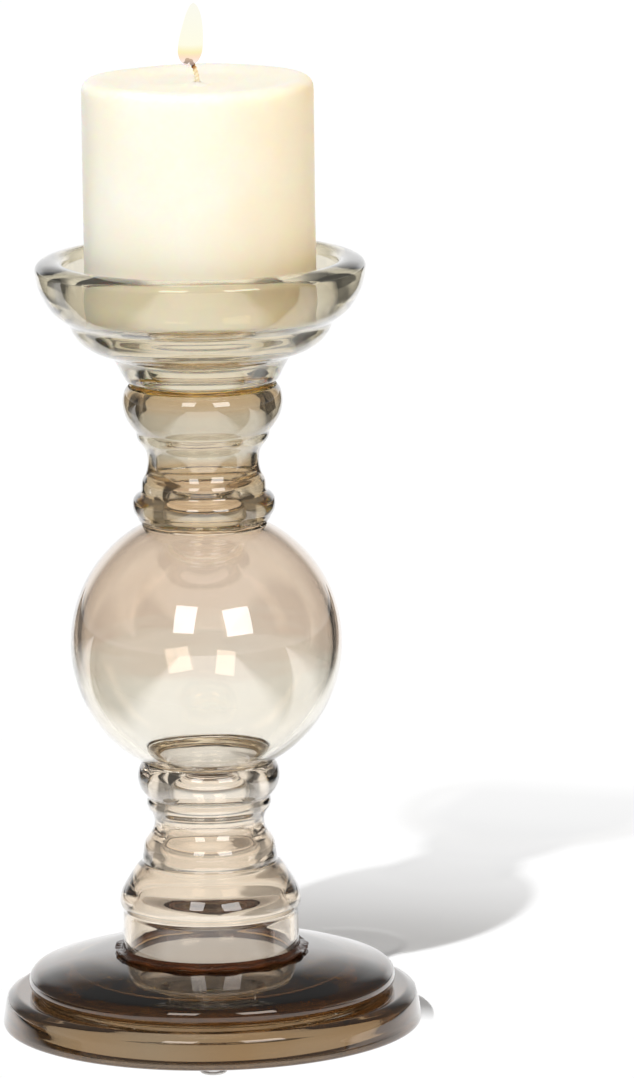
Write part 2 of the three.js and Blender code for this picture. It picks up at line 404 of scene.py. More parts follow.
def remap(tree, value, start, end, low=0.0, high=1.0, kind="LINEAR"):
    """Takes start..end of a value to low..high, and holds it there beyond."""
    spans = {"Value": value, "From Min": start, "From Max": end, "To Min": low, "To Max": high}
    return add_node(tree, "ShaderNodeMapRange", spans, interpolation_type=kind).outputs["Result"]


def blend(tree, share, first, second, kind="MIX"):
    """A colour between two others, or the second worked into the first."""
    inputs = {0: share, 6: first, 7: second}
    return add_node(tree, "ShaderNodeMix", inputs, data_type="RGBA", blend_type=kind).outputs[2]


def noise(tree, vector, scale, detail):
    """Soft random patches, from 0 to 1."""
    inputs = {"Vector": vector, "Scale": scale, "Detail": detail}
    return add_node(tree, "ShaderNodeTexNoise", inputs).outputs["Fac"]


def stretched(tree, vector, factors):
    """Coordinates multiplied axis by axis, which draws a pattern out along the small ones."""
    return add_node(tree, "ShaderNodeVectorMath", {0: vector, 1: factors}, operation="MULTIPLY").outputs[0]


def colour_ramp(tree, value, stops):
    """Goes from stop to stop. A stop is a position with a colour or a grey."""
    node = add_node(tree, "ShaderNodeValToRGB", {"Fac": value})
    elements = node.color_ramp.elements
    elements.remove(elements[1])
    for index, (position, shade) in enumerate(stops):
        stop = elements.new(position) if index else elements[0]
        stop.position = position
        stop.color = (*shade, 1) if isinstance(shade, tuple) else (shade, shade, shade, 1)
    return node.outputs["Color"]


# ---- Shader effects ---------------------------------------------------------


def glass_ripple(name):
    """Height of the soft waves and fine drag lines of hand-worked glass."""
    inputs = [("Vector", VECTOR), ("Wave scale", FLOAT, 30.0), ("Line scale", FLOAT, 200.0),
              ("Line amount", FLOAT, 0.2)]
    tree, given, result = new_group(name, "ShaderNodeTree", inputs, [("Height", FLOAT)])
    waves = noise(tree, given["Vector"], given["Wave scale"], 1.5)
    lines = noise(tree, stretched(tree, given["Vector"], (0.12, 0.12, 1.0)), given["Line scale"], 2.0)
    drawn = calculate(tree, "MULTIPLY", lines, given["Line amount"])
    tree.links.new(calculate(tree, "ADD", waves, drawn), result["Height"])
    return tree


def lustre_cloud(name):
    """Colour of a fumed metal film that settled unevenly: clouds between two tints."""
    inputs = [("Vector", VECTOR), ("Thin tint", COLOUR, WHITE), ("Thick tint", COLOUR, WHITE),
              ("Scale", FLOAT, 14.0)]
    tree, given, result = new_group(name, "ShaderNodeTree", inputs, [("Color", COLOUR)])
    cloud = remap(tree, noise(tree, given["Vector"], given["Scale"], 3.0), 0.35, 0.65)
    tree.links.new(blend(tree, cloud, given["Thin tint"], given["Thick tint"]), result["Color"])
    return tree


def lustre_depth(name):
    """Share from the pale tint to the deep tint: more where the surface faces up, with a streaky edge, from 0
    to 1.
    """
    inputs = [("Vector", VECTOR), ("Facing up", FLOAT, 0.0), ("Middle", FLOAT, 0.0), ("Softness", FLOAT, 0.2),
              ("Streaks", FLOAT, 0.2)]
    tree, given, result = new_group(name, "ShaderNodeTree", inputs, [("Depth", FLOAT)])
    streak = noise(tree, stretched(tree, given["Vector"], (1, 1, 7)), 24.0, 3.0)
    shift = calculate(tree, "MULTIPLY", calculate(tree, "SUBTRACT", streak, 0.5), given["Streaks"])
    raised = calculate(tree, "ADD", given["Facing up"], shift)
    share = calculate(tree, "DIVIDE", calculate(tree, "SUBTRACT", raised, given["Middle"]), given["Softness"])
    tree.links.new(remap(tree, share, -1.0, 1.0, kind="SMOOTHSTEP"), result["Depth"])
    return tree


def handling_marks(name):
    """Roughness of a polished surface with faint smudges from handling."""
    inputs = [("Vector", VECTOR), ("Clean", FLOAT, 0.01), ("Smudged", FLOAT, 0.05), ("Scale", FLOAT, 40.0)]
    tree, given, result = new_group(name, "ShaderNodeTree", inputs, [("Roughness", FLOAT)])
    patch = noise(tree, given["Vector"], given["Scale"], 4.0)
    mask = remap(tree, patch, 0.5, 0.75, given["Clean"], given["Smudged"])
    tree.links.new(mask, result["Roughness"])
    return tree


def use_group(tree, build, place, **values):
    """Places a shader group on the given coordinates. It is built and named at its first use."""
    name = build.__name__.replace("_", " ").capitalize()
    node = add_node(tree, "ShaderNodeGroup", node_tree=bpy.data.node_groups.get(name) or build(name))
    feed(tree, node, {"Vector": place})
    feed(tree, node, {key.replace("_", " ").capitalize(): value for key, value in values.items()})
    return node.outputs[0]


# ---- Materials --------------------------------------------------------------

OPEN_GREY = (0.98, 0.98, 0.98)  # a glued face hardly darkens the shadow
EDGE_SHADE_BROWN = (0.10, 0.06, 0.03, 1)  # painted shade where a lustred piece turns away from the view, partly for its film crossed at a slant


def new_material(name, shadow=None):
    """An empty material, its node tree, its Principled shader and object coordinates.

    shadow tints the light that glass lets through to the floor, so that its shadow is light.
    """
    material = bpy.data.materials.new(name)
    material.use_nodes = True
    tree = material.node_tree
    tree.nodes.clear()
    shader = add_node(tree, "ShaderNodeBsdfPrincipled")
    surface = shader.outputs["BSDF"]
    if shadow:
        path = add_node(tree, "ShaderNodeLightPath")
        clear = add_node(tree, "ShaderNodeBsdfTransparent", {"Color": (*shadow, 1.0)})
        layers = {0: path.outputs["Is Shadow Ray"], 1: surface, 2: clear.outputs["BSDF"]}
        surface = add_node(tree, "ShaderNodeMixShader", layers).outputs["Shader"]
    add_node(tree, "ShaderNodeOutputMaterial", {"Surface": surface})
    return material, tree, shader, add_node(tree, "ShaderNodeTexCoord").outputs["Object"]


def clouded(tree, place, thin, thick, scale):
    """Clouds between two plain colours."""
    return use_group(tree, lustre_cloud, place, Thin_tint=(*thin, 1), Thick_tint=(*thick, 1), Scale=scale)


def marked(tree, place, clean, smudged, scale):
    """Roughness with smudges."""
    return use_group(tree, handling_marks, place, Clean=clean, Smudged=smudged, Scale=scale)


def waved(tree, place, wave, line, line_share, height):
    """A normal with soft waves and drag lines, up to height millimetres high."""
    relief = use_group(tree, glass_ripple, place, Wave_scale=wave, Line_scale=line, Line_amount=line_share)
    bumps = {"Height": relief, "Distance": height * MM, "Strength": 1.0}
    return add_node(tree, "ShaderNodeBump", bumps).outputs["Normal"]


def glass_material(name, pale, deep, film, shadow, wave=30.0, bump_height=0.15, softness=0.35, middle=0.05,
                   streaks=0.3, rim=0.0, patches=(0.98, 0.95, 0.91), sheen=None):
    """Clear glass with a lustre film; its tint is pale where the surface faces down and deep where it faces
    up.

    film is the index of the reflecting film, 0 for none, sheen the tint of what it reflects, patches
    the tint of its thicker patches, and rim how much painted shade darkens its edges where the surface
    turns away from the view, partly for the film crossed at a slant.
    """
    if name in bpy.data.materials:
        return bpy.data.materials[name]
    material, tree, shader, place = new_material(name, shadow)
    facing = add_node(tree, "ShaderNodeAttribute", attribute_name="facing_up").outputs["Fac"]
    depth = use_group(tree, lustre_depth, place, Facing_up=facing, Middle=middle, Softness=softness,
                      Streaks=streaks)
    thin = blend(tree, depth, (*pale, 1), (*deep, 1))
    thick = blend(tree, 1.0, thin, (*patches, 1), "MULTIPLY")
    tint = use_group(tree, lustre_cloud, place, Thin_tint=thin, Thick_tint=thick, Scale=14.0)
    # Painted shade: the tint turns dark brown where the surface turns away from the view, standing in for the
    # dark edges of the glass, and partly for the film crossed at a slant.
    if rim:
        edge = add_node(tree, "ShaderNodeLayerWeight", {"Blend": 0.5}).outputs["Facing"]
        tint = blend(tree, remap(tree, edge, 0.45, 1.0, 0.0, rim), tint, EDGE_SHADE_BROWN)
    feed(tree, shader, {
        "Base Color": tint, "Roughness": marked(tree, place, 0.0, 0.03, 45.0),
        "Normal": waved(tree, place, wave, 110.0, 0.6, bump_height),
        "Transmission Weight": 1.0, "IOR": 1.5, "Metallic": 0.0,
    })
    if sheen:
        feed(tree, shader, {"Specular IOR Level": 1.0, "Specular Tint": (*sheen, 1.0)})
    if film:
        feed(tree, shader, {"Coat Weight": 1.0, "Coat IOR": film, "Coat Roughness": 0.01})
    return material


def lustre_tints(piece):
    """The pale and the deep tint of a piece's lustre."""
    return [tuple(getattr(glass_settings(), piece + end)) for end in ("_pale", "_deep")]


def stem_glass():
    return glass_material("Stem lustre glass", *lustre_tints("stem"), 1.8, (0.4, 0.39, 0.38), rim=0.85)


def upper_glass():
    return glass_material("Upper stem lustre glass", *lustre_tints("upper"), 1.9, (0.4, 0.39, 0.38), rim=0.85)


def cup_glass():
    return glass_material("Cup lustre glass", *lustre_tints("cup"), 1.8, (0.6, 0.58, 0.55), rim=0.7)


def ball_glass():
    return glass_material("Ball lustre glass", *lustre_tints("ball"), 2.1, (0.5, 0.49, 0.48),
                          wave=22.0, softness=0.14, middle=-0.06, streaks=0.5, rim=0.5)


def smoky_glass():
    return glass_material("Smoky lustre glass", *lustre_tints("base"), 1.7, (0.25, 0.24, 0.23),
                          rim=0.3, patches=(1.0, 0.72, 0.40), sheen=(1.0, 0.74, 0.52))


def plain_glass():
    clear = (1.0, 0.995, 0.985)
    return glass_material("Clear inner glass", clear, clear, 0.0, (0.97, 0.97, 0.97),
                          wave=45.0, bump_height=0.08)


def darker(tint, share):
    return tuple(channel * share for channel in tint)


def glued_face(tint=CLEAR_GLUE):
    """A face that adhesive wets, so light goes straight through it, tinted, and isn't mirrored."""
    name = "Glued face " + "-".join(str(round(100 * channel)) for channel in tint)
    if name in bpy.data.materials:
        return bpy.data.materials[name]
    material, tree, shader, place = new_material(name, OPEN_GREY)
    feed(tree, shader, {
        "Base Color": clouded(tree, place, tint, darker(tint, 0.93), 90.0),
        "Roughness": 0.0, "Transmission Weight": 1.0, "IOR": 1.0, "Metallic": 0.0,
    })
    return material


def adhesive(name, tint, clearness, rough):
    """Clear set adhesive with fine bubbles, seen as a thin coloured seam."""
    if name in bpy.data.materials:
        return bpy.data.materials[name]
    material, tree, shader, place = new_material(name, tint)
    feed(tree, shader, {
        "Base Color": clouded(tree, place, tint, darker(tint, 0.45), 160.0),
        "Roughness": marked(tree, place, rough, rough + 0.2, 300.0),
        "Normal": waved(tree, place, 420.0, 900.0, 0.3, 0.25),
        "Transmission Weight": clearness, "IOR": 1.46, "Metallic": 0.0,
    })
    return material


def vinyl():
    """Clear soft vinyl of the bumper pads, slightly hazy."""
    material, tree, shader, place = new_material("Clear vinyl", (0.9, 0.9, 0.89))
    feed(tree, shader, {
        "Base Color": clouded(tree, place, (0.96, 0.95, 0.93), (0.88, 0.86, 0.83), 150.0),
        "Roughness": marked(tree, place, 0.08, 0.25, 220.0),
        "Transmission Weight": 1.0, "IOR": 1.42, "Metallic": 0.0,
    })
    return material


def wax():
    """Ivory wax: light sinks in and comes out warm, and the skin is softly uneven."""
    material, tree, shader, place = new_material("Ivory wax")
    red, green, blue = candle_settings().wax_colour
    warm = (red * 0.99, green * 0.965, blue * 0.90)
    feed(tree, shader, {
        "Base Color": clouded(tree, place, (red, green, blue), warm, 26.0),
        "Roughness": marked(tree, place, 0.32, 0.5, 90.0),
        "Normal": waved(tree, place, 70.0, 700.0, 0.25, 0.12),
        "Subsurface Weight": 0.7, "Subsurface Scale": 9 * MM, "Subsurface Radius": (1.0, 0.6, 0.25),
        "IOR": 1.44,
    })
    return material


def burnt_cotton():
    """Cotton: ivory with wax at the bottom, brown over the pool and black at the tip."""
    material, tree, shader, place = new_material("Burnt cotton")
    split = add_node(tree, "ShaderNodeSeparateXYZ", {0: place}).outputs
    reach = calculate(tree, "SUBTRACT", split["Z"], split["X"])
    burn = remap(tree, reach, (WAX_TOP - 2.0) * MM, (WICK_TOP + 3.0) * MM)
    stops = ((0.22, (0.95, 0.88, 0.70)), (0.46, (0.90, 0.76, 0.50)), (0.55, (0.45, 0.22, 0.07)),
             (0.64, (0.12, 0.05, 0.02)), (0.8, (0.05, 0.022, 0.012)), (1.0, (0.006, 0.004, 0.004)))
    feed(tree, shader, {
        "Base Color": colour_ramp(tree, burn, stops), "Roughness": 0.9,
        "Normal": waved(tree, place, 1800.0, 3000.0, 0.6, 0.2),
    })
    return material


def tinplate():
    """Thin tinplate with faint rolling lines."""
    material, tree, shader, place = new_material("Tinplate")
    feed(tree, shader, {
        "Base Color": clouded(tree, place, (0.75, 0.76, 0.77), (0.6, 0.6, 0.61), 200.0),
        "Roughness": marked(tree, place, 0.25, 0.45, 300.0), "Metallic": 1.0,
    })
    return material


def flame_glow(foot, tip):
    """Flame: rosy and faint at its foot, then pale yellow-white up to its tip."""
    material, tree, shader, place = new_material("Flame")
    height = add_node(tree, "ShaderNodeSeparateXYZ", {0: place}).outputs["Z"]
    share = remap(tree, height, foot * MM, tip * MM)
    stops = ((0.0, (1.0, 0.80, 0.72)), (0.13, (1.0, 0.72, 0.50)), (0.22, (0.97, 0.88, 0.50)),
             (0.34, (1.0, 0.985, 0.80)), (1.0, (0.97, 0.96, 0.86)))
    feed(tree, shader, {
        "Emission Color": colour_ramp(tree, share, stops), "Emission Strength": 1.0,
        "Alpha": remap(tree, share, 0.0, 0.25, 0.25, 0.95),
        "Base Color": (0, 0, 0, 1), "Roughness": 1.0, "Specular IOR Level": 0.0,
    })
    return material


# ---- Operators: base --------------------------------------------------------


class CANDLESTICK_OT_base(bpy.types.Operator):
    """Builds the wide plate, the domed disc on it and the adhesive between them"""

    bl_idname = "candlestick.base"
    bl_label = "Base"

    def execute(self, context):
        glass, clear, glued = smoky_glass(), plain_glass(), glued_face()
        bond_inner, bond_outer = 44.0, 58.0
        low, top, rim = PLATE_LOW, PLATE_TOP, PLATE_R
        shoulder, recess = rim - 1.5, 56.0
        ceiling = low + 6.5
        underside = [
            [(0, ceiling), (recess - 3, ceiling)],
            [(recess - 3, ceiling), (recess - 0.8, ceiling - 0.9), (recess, ceiling - 3)],
            [(recess, ceiling - 3), (recess, low)],
        ]
        topside = [
            [(recess, low), (rim - 0.9, low)],
            [(rim - 0.9, low), (rim - 0.15, low + 0.5), (rim, low + 1.4)],
            [(rim, low + 1.4), (shoulder + 0.45, top - 3.6)],
            [(shoulder + 0.45, top - 3.6), (shoulder - 0.35, top - 1.35), (shoulder - 2.9, top)],
            [(shoulder - 2.9, top), (0, top)],
        ]
        plate = turned("base_plate", underside, topside, [clear, glass, glued], seed=0.6,
                       glued=[(top, bond_inner, bond_outer)])
        finish_piece(plate, HOLDER, "smoky_glass", "base_plate")

        low, top, rim = DOME_LOW, DOME_TOP, DOME_R
        domed = [
            [(0, low), (rim - 0.8, low)],
            [(rim - 0.8, low), (rim - 0.2, low + 0.7), (rim, low + 2.4)],
            [(rim, low + 2.4), (rim - 0.4, low + 4.3), (rim - 1.8, low + 5.8), (rim - 4.2, low + 6.75)],
            [(rim - 4.2, low + 6.75), (50, low + 8.7), (41, low + 10.5), (32.6, top)],
            [(32.6, top), (0, top)],
        ]
        dome = turned("base_dome", domed, None, [glass, glass, glued], seed=1.7,
                      glued=[(low, bond_inner, bond_outer), (top, FOOT_INNER_R, FOOT_R)])
        finish_piece(dome, HOLDER, "smoky_glass", "base_dome")
        add_seam("base_bond", bond_inner, bond_outer + 0.6, 0.9, 3.0)
        return {"FINISHED"}


def add_seam(node, inner, outer, ragged, waves, tint=CLEAR_GLUE):
    """Builds a thin ring of adhesive whose outer edge wanders in and out."""
    low, high = node_heights(node)
    low, high = low - SEAM_REACH, high + SEAM_REACH

    def wander(radius, height, angle):
        if radius > (inner + outer) / 2:
            slow, fine = math.sin(waves * angle) * 0.4, math.sin(11 * angle + 1) * 0.35
            radius += ragged * 0.5 * (slow + fine + math.sin(29 * angle + 2) * 0.25 - 1)
        return radius, height

    outside = [[(inner, low), (outer, low)], [(outer, low), (outer, high)], [(outer, high), (inner, high)]]
    inside = [[(inner, high), (inner, low)]]
    amber = adhesive("Amber adhesive", tuple(glass_settings().amber_colour), 0.95, 0.08)
    ring = turned(node, outside, inside, [amber, amber, glued_face(tint)], ripple=0, passes=1, shape=wander,
                  glued=[(low, inner, outer), (high, inner, outer)])
    ring.visible_shadow = False
    finish_piece(ring, HOLDER, "clear_bond", node)


class CANDLESTICK_OT_pads(bpy.types.Operator):
    """Builds the clear bumper pads under the base, placed round a circle by Geometry Nodes"""

    bl_idname = "candlestick.pads"
    bl_label = "Pads"

    def execute(self, context):
        low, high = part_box("foot_pad_front")
        radius = (high[0] - low[0]) / 2
        circle = -(low[1] + high[1]) / 2
        nodes = ["foot_pad_front", "foot_pad_right", "foot_pad_back", "foot_pad_left"]
        inputs = [("Geometry", GEOMETRY), ("Circle radius", FLOAT, circle), ("Pads", WHOLE, len(nodes)),
                  ("Material", MATERIAL)]
        outputs = [("Geometry", GEOMETRY)]
        tree, given, result = new_group("Pads round a circle", "GeometryNodeTree", inputs, outputs)
        circle_points = {"Vertices": given["Pads"], "Radius": given["Circle radius"]}
        ring = add_node(tree, "GeometryNodeMeshCircle", circle_points).outputs[0]
        pads = {"Points": ring, "Instance": given["Geometry"]}
        stand = add_node(tree, "GeometryNodeInstanceOnPoints", pads).outputs[0]
        realize_and_paint(tree, stand, given["Material"], result)

        r, h = radius / MM, high[2] / MM
        outline = [
            [(0, 0), (r - 1.7, 0)],
            [(r - 1.7, 0), (r - 0.7, 0.35), (r - 0.15, 1.0), (r, h)],
            [(r, h), (0, h)],
        ]
        clear = vinyl()
        seed = turned("pad_seed", outline, None, [clear], ripple=0, around=40, passes=1)
        values = {"Circle radius": circle, "Pads": len(nodes), "Material": clear}
        finish_piece(from_nodes(seed, tree, "foot_pads", values), HOLDER, "clear_vinyl", *nodes)
        return {"FINISHED"}


def realize_and_paint(tree, geometry, material, result):
    """Ends a tree: real meshes with a material."""
    real = add_node(tree, "GeometryNodeRealizeInstances", {0: geometry}).outputs[0]
    paint = add_node(tree, "GeometryNodeSetMaterial", {"Geometry": real, "Material": material})
    tree.links.new(paint.outputs[0], result["Geometry"])


def from_nodes(host, tree, name, values):
    """Runs a Geometry Nodes tree on host and keeps its result as one plain mesh object."""
    modifier = host.modifiers.new("Build", "NODES")
    modifier.node_group = tree
    for item in tree.interface.items_tree:
        if item.in_out == "INPUT" and item.name in values:
            modifier[item.identifier] = values[item.name]
    graph = bpy.context.evaluated_depsgraph_get()
    mesh = bpy.data.meshes.new_from_object(host.evaluated_get(graph), depsgraph=graph)
    if not mesh.polygons:
        raise RuntimeError(name + ": the node tree made no faces")
    host.modifiers.remove(modifier)
    bpy.data.objects.remove(host)
    return add_mesh(name, mesh)


# ---- Operators: stem and cup ------------------------------------------------


class CANDLESTICK_OT_lower_stem(bpy.types.Operator):
    """Builds the lower stem and the ragged ring of adhesive round its foot"""

    bl_idname = "candlestick.lower_stem"
    bl_label = "Lower stem"

    def execute(self, context):
        low, top = STEM_LOW, STEM_TOP
        outside = [
            [(FOOT_INNER_R, low), (FOOT_R, low)],
            [(FOOT_R, low), (FOOT_R, 40.6)],
            [(FOOT_R, 40.6), (29.0, 41.4), (29.5, 42.3)],
            [(29.5, 42.3), (30.1, 43.3), (30.2, 44.6), (29.9, 46.6), (29.0, 48.8), (27.4, 51.6), (25.6, 54.4),
             (24.5, 56.0), (23.4, 57.0), (22.2, 57.5)],
            [(22.2, 57.5), (22.4, 59), (22.1, 61), (21.8, 63.4), (21.1, 65.2)],
            [(21.1, 65.2), (19.8, 66.8), (18.8, 68.6), (18.3, 70.6), (18.4, 72.6), (19.2, 74.6), (20.3, 76)],
            [(20.3, 76), (20.7, 77.4), (20.6, 78.8), (20.2, 79.8)],
            [(20.2, 79.8), (21.6, 81.1), (22.9, 83.2), (23.6, 86.0), (23.4, 88.4), (22.6, 90.4),
             (JOINT_R, top)],
            [(JOINT_R, top), (MOUTH_R, top)],
        ]
        inside = [
            [(MOUTH_R, top), (14.6, 89.8), (13.3, 87), (13.2, 84), (14.2, 79), (14.8, 74), (14.8, 68),
             (15.8, 63), (19, 58.8), (23.2, 54.6), (25.8, 49.8), (FOOT_INNER_R, 45)],
            [(FOOT_INNER_R, 45), (FOOT_INNER_R, low)],
        ]
        stem = turned("lower_stem", outside, inside, [stem_glass(), plain_glass(), glued_face()], seed=3.1,
                      glued=[(top, MOUTH_R, JOINT_R), (low, FOOT_INNER_R, FOOT_R)])
        finish_piece(stem, HOLDER, "lustre_glass", "lower_stem")

        bottom, height = node_heights("foot_collar")[0] - SEAM_REACH, 2.6
        inner, outer = FOOT_R + 0.1, COLLAR_R + 0.9

        def ragged(radius, z, angle):
            edge = max(0.0, (radius - inner) / (outer - inner))
            torn = (0.5 * math.sin(7 * angle + 0.4) + 0.3 * math.sin(17 * angle + 2)
                    + 0.35 * math.sin(31 * angle) + 0.2 * math.sin(61 * angle + 1))
            return radius + edge * (0.35 * torn - 0.5), z + edge * 0.3 * math.sin(13 * angle + 1)

        outside = [
            [(inner, bottom), (outer - 1.2, bottom)],
            [(outer - 1.2, bottom), (outer - 0.2, bottom + 0.7), (outer, bottom + 1.5)],
            [(outer, bottom + 1.5), (inner + 0.9, bottom + 1.3), (inner, bottom + height)],
        ]
        dark = adhesive("Dark adhesive", (0.34, 0.13, 0.055), 0.6, 0.12)
        collar = turned("foot_collar", outside, [[(inner, bottom + height), (inner, bottom)]], [dark],
                        ripple=0, around=288, passes=1, shape=ragged)
        finish_piece(collar, HOLDER, "dark_bond", "foot_collar")
        return {"FINISHED"}


def arc(centre, radius, start, end, count=17):
    """Points along an arc of a ball's outline between two heights."""
    first, last = math.asin((start - centre) / radius), math.asin((end - centre) / radius)
    angles = [first + (last - first) * k / (count - 1) for k in range(count)]
    return [(radius * math.cos(a), centre + radius * math.sin(a)) for a in angles]


class CANDLESTICK_OT_ball(bpy.types.Operator):
    """Builds the blown ball and the two seams that join it to the stems"""

    bl_idname = "candlestick.ball"
    bl_label = "Ball"

    def execute(self, context):
        settings = glass_settings()
        radius, mouth = settings.ball_radius / MM, settings.ball_mouth / MM
        inner = radius - settings.ball_wall / MM
        top_flat, low_flat = 20.6, 23.0
        top_lip, low_lip = (math.sqrt(radius ** 2 - flat ** 2) for flat in (top_flat, low_flat))
        centre = (BALL_TOP - top_lip + BALL_LOW + low_lip) / 2
        reach = math.sqrt(inner ** 2 - mouth ** 2)
        shell = arc(centre, radius, BALL_LOW, BALL_TOP)
        hollow = arc(centre, inner, centre + reach, centre - reach)
        outside = [[(mouth, BALL_LOW), shell[0]], shell, [shell[-1], (mouth, BALL_TOP)]]
        inside = [[(mouth, BALL_TOP), hollow[0]], hollow, [hollow[-1], (mouth, BALL_LOW)]]
        ball = turned("ball", outside, inside, [ball_glass(), plain_glass(), glued_face()], seed=4.4,
                      glued=[(BALL_LOW, mouth, 21.6), (BALL_TOP, mouth, top_flat)])
        finish_piece(ball, HOLDER, "lustre_glass", "ball")
        add_seam("lower_ball_bond", MOUTH_R, 21.6, 0.9, 5.0)
        add_seam("upper_ball_bond", MOUTH_R, 20.8, 1.3, 4.0)
        return {"FINISHED"}


class CANDLESTICK_OT_upper_stem(bpy.types.Operator):
    """Builds the upper stem with its ring, neck and fat bead, and the seam under the cup"""

    bl_idname = "candlestick.upper_stem"
    bl_label = "Upper stem"

    def execute(self, context):
        low, top = NECK_LOW, NECK_TOP
        outside = [
            [(MOUTH_R, low), (JOINT_R, low)],
            [(JOINT_R, low), (22.0, low + 1.1), (22.4, low + 2.1)],
            [(22.4, low + 2.1), (23.3, 176.0), (23.7, 178.2), (23.4, 180.2), (22.2, 181.6), (21.0, 182.1)],
            [(21.0, 182.1), (20.7, 183.2), (20.6, 185.2), (20.2, 186.8), (19.4, 188.0)],
            [(19.4, 188.0), (18.8, 190), (18.5, 192.4), (18.6, 194.6), (19.0, 196.4), (20.0, 198.0),
             (21.4, 199.8), (22.0, 201.4), (22.1, 202.8)],
            [(22.1, 202.8), (23.3, 204.2), (24.8, 206.4), (25.9, 208.8), (26.5, 212.0), (26.3, 214.6),
             (25.7, 216.6), (24.6, top)],
            [(24.6, top), (16.8, top)],
        ]
        inside = [
            [(16.8, top), (19.4, 217.2), (20.6, 214.6), (20.8, 211), (20.2, 206.5), (18.4, 202),
             (16.2, 198.2), (15.5, 194), (15.5, 190), (14.6, 186.4), (13.4, 182.6), (13.2, 178.2),
             (14.2, 174.6), (MOUTH_R, low)],
        ]
        stem = turned("upper_stem", outside, inside, [upper_glass(), plain_glass(), glued_face(AMBER_GLUE)],
                      seed=5.9, glued=[(low, MOUTH_R, JOINT_R), (top, MOUTH_R, 24.4)])
        finish_piece(stem, HOLDER, "lustre_glass", "upper_stem")
        add_seam("cup_bond", MOUTH_R, 24.5, 0.6, 6.0, AMBER_GLUE)
        return {"FINISHED"}


class CANDLESTICK_OT_cup(bpy.types.Operator):
    """Builds the flared, three-tiered cup"""

    bl_idname = "candlestick.cup"
    bl_label = "Cup"

    def execute(self, context):
        low, top, rim = CUP_LOW, CUP_TOP, CUP_R
        seat = WAX_LOW - 0.3
        outside = [
            [(0, low), (24.3, low)],
            [(24.3, low), (25.3, low + 1.0), (26.4, 222.3), (27.6, 224.6), (29.0, 226.9), (30.4, 228.4)],
            [(30.4, 228.4), (33.4, 229.5)],
            [(33.4, 229.5), (36.8, 230.9), (40.0, 233.2), (42.2, 236.0), (43.5, 238.9)],
            [(43.5, 238.9), (44.4, 240.0), (45.8, 240.9)],
            [(45.8, 240.9), (48.9, 243.4), (51.4, 247.0), (53.2, 250.6), (54.1, 254.0), (rim - 0.05, 257.4)],
            [(rim - 0.05, 257.4), (53.8, 258.8), (52.0, 259.8), (49.2, top), (46.8, 260.1), (45.3, 258.9),
             (44.8, 257.0)],
        ]
        inside = [
            [(44.8, 257.0), (44.5, 252), (44.2, seat + 3)],
            [(44.2, seat + 3), (43.6, seat + 0.9), (42.0, seat)],
            [(42.0, seat), (34.6, seat)],
            [(34.6, seat), (33.5, seat - 0.9), (33.0, seat - 2)],
            [(33.0, seat - 2), (30.8, 236.2), (29.8, 234.4), (27.4, 233.5)],
            [(27.4, 233.5), (20.8, 233.2)],
            [(20.8, 233.2), (19.6, 232.4), (19.1, 231)],
            [(19.1, 231), (17.3, 225.2), (16.4, 223.6), (14.4, 222.8)],
            [(14.4, 222.8), (0, 222.8)],
        ]
        cup = turned("candle_cup", outside, inside, [cup_glass(), plain_glass(), glued_face(AMBER_GLUE)],
                     seed=7.3, glued=[(low, MOUTH_R, 24.3)])
        finish_piece(cup, HOLDER, "lustre_glass", "candle_cup")
        return {"FINISHED"}


# ---- Operators: candle ------------------------------------------------------


class CANDLESTICK_OT_wax(bpy.types.Operator):
    """Builds the pillar of wax and finishes the tin disc under it"""

    bl_idname = "candlestick.wax"
    bl_label = "Wax and tin"

    def execute(self, context):
        low, top, radius = WAX_LOW, WAX_TOP, WAX_R
        pool = top - candle_settings().pool_depth / MM
        tin_edge, bore = TIN_R + 0.3, 1.3
        tin_gap, neck_top = TIN_LOW + 0.7, TIN_TOP + 0.3
        outside = [
            [(tin_edge, low), (radius - 1.0, low)],
            [(radius - 1.0, low), (radius - 0.25, low + 0.3), (radius, low + 1.1)],
            [(radius, low + 1.1), (radius, top - 4.5)],
            [(radius, top - 4.5), (radius - 0.25, top - 2.4), (radius - 1.2, top - 0.9),
             (radius - 3.0, top - 0.1), (radius - 5.2, top - 0.1), (radius - 8.0, top - 0.7)],
            [(radius - 8.0, top - 0.7), (24, pool + 0.25), (16, pool), (6, pool + 0.1), (2.2, pool + 0.5),
             (bore, pool + 1.3)],
        ]
        inside = [
            [(bore, pool + 1.3), (bore, neck_top)],
            [(bore, neck_top), (2.3, neck_top)],
            [(2.3, neck_top), (2.3, tin_gap)],
            [(2.3, tin_gap), (tin_edge, tin_gap)],
            [(tin_edge, tin_gap), (tin_edge, low)],
        ]

        def melted(r, z, angle):
            if z > top - 6 and r > 4:
                share = min(1.0, (z - (top - 6)) / 4)
                z += share * (0.16 * math.sin(2 * angle + 0.6) + 0.10 * math.sin(5 * angle) - 0.2)
            return r, z

        pillar = turned("candle_wax", outside, inside, [wax()], ripple=0.10, seed=2.2, shape=melted)
        finish_piece(pillar, CANDLE, "ivory_wax", "candle_wax")

        metal = tinplate()
        for slot in frame["nodes"]["wick_sustainer"].material_slots:
            slot.material = metal
        return {"FINISHED"}


